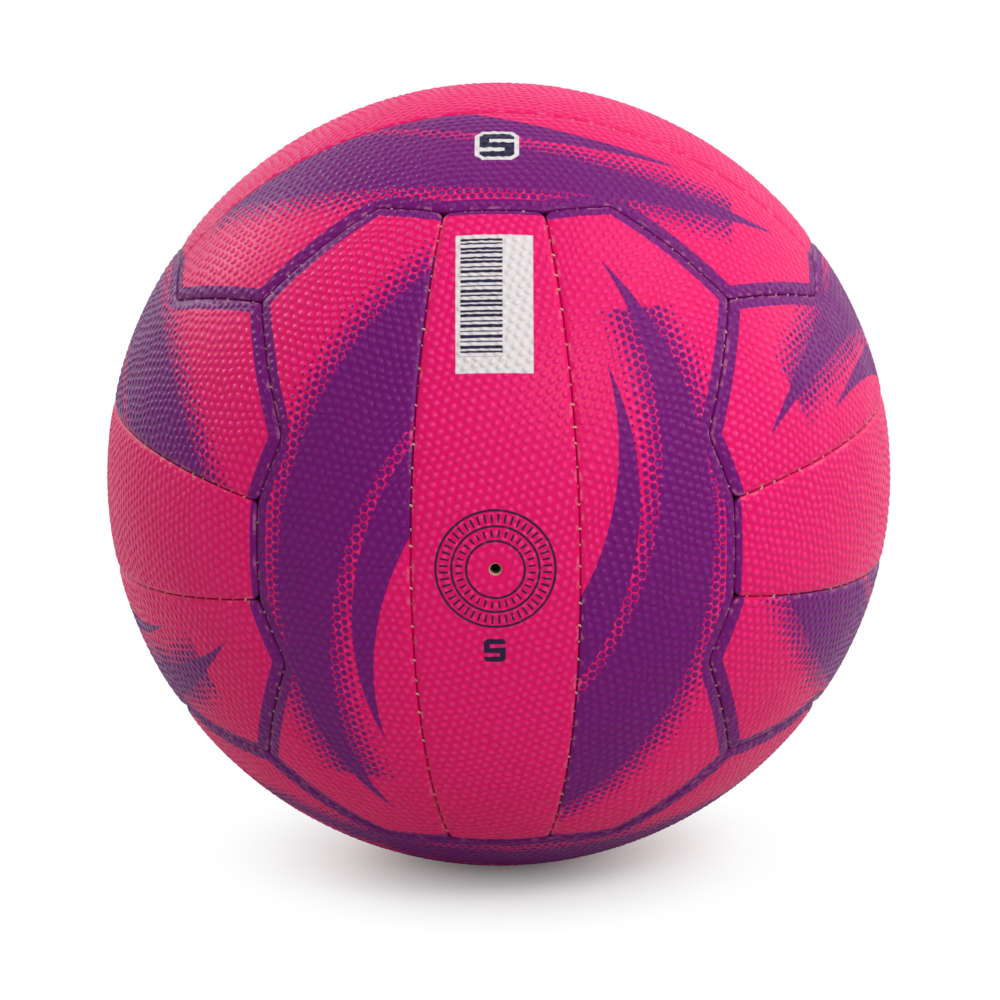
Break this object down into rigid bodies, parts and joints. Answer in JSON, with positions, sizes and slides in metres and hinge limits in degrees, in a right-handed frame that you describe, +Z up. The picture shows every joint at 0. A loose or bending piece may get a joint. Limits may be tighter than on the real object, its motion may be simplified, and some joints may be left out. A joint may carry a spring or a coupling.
{
  "type": "netball",
  "caption": "Round netball of stitched, pebbled rubber panels over an air-filled bladder, with a needle valve for pumping it up.",
  "frame": {"origin": "centre of the ball", "axes": "+Z up, the valve looks along -Y"},
  "size_m": [0.2228, 0.2228, 0.2228],
  "materials": {
    "panel": "pebbled satin rubber, pink with printed purple",
    "lining": "glued woven cloth",
    "thread": "waxed thread",
    "bladder": "smooth matt rubber",
    "valve_boot": "smooth matt rubber",
    "valve_core": "smooth soft rubber",
    "valve_patch": "woven cloth"
  },
  "bodies": {
    "root": {"front_left_panel": "panel", "front_right_panel": "panel", "front_centre_panel": "panel", "back_left_panel": "panel", "back_right_panel": "panel", "back_centre_panel": "panel", "left_upper_panel": "panel", "left_lower_panel": "panel", "left_centre_panel": "panel", "right_upper_panel": "panel", "right_lower_panel": "panel", "right_centre_panel": "panel", "top_front_panel": "panel", "top_back_panel": "panel", "top_centre_panel": "panel", "bottom_front_panel": "panel", "bottom_back_panel": "panel", "bottom_centre_panel": "panel", "front_left_lining": "lining", "front_right_lining": "lining", "front_centre_lining": "lining", "back_left_lining": "lining", "back_right_lining": "lining", "back_centre_lining": "lining", "left_upper_lining": "lining", "left_lower_lining": "lining", "left_centre_lining": "lining", "right_upper_lining": "lining", "right_lower_lining": "lining", "right_centre_lining": "lining", "top_front_lining": "lining", "top_back_lining": "lining", "top_centre_lining": "lining", "bottom_front_lining": "lining", "bottom_back_lining": "lining", "bottom_centre_lining": "lining", "front_left_edge_thread": "thread", "front_right_edge_thread": "thread", "front_strip_threads": "thread", "back_left_edge_thread": "thread", "back_right_edge_thread": "thread", "back_strip_threads": "thread", "left_upper_edge_thread": "thread", "left_lower_edge_thread": "thread", "left_strip_threads": "thread", "right_upper_edge_thread": "thread", "right_lower_edge_thread": "thread", "right_strip_threads": "thread", "top_front_edge_thread": "thread", "top_back_edge_thread": "thread", "top_strip_threads": "thread", "bottom_front_edge_thread": "thread", "bottom_back_edge_thread": "thread", "bottom_strip_threads": "thread", "bladder": "bladder", "valve_boot": "valve_boot", "valve_core": "valve_core", "valve_patch": "valve_patch"}
  },
  "joints": []
}
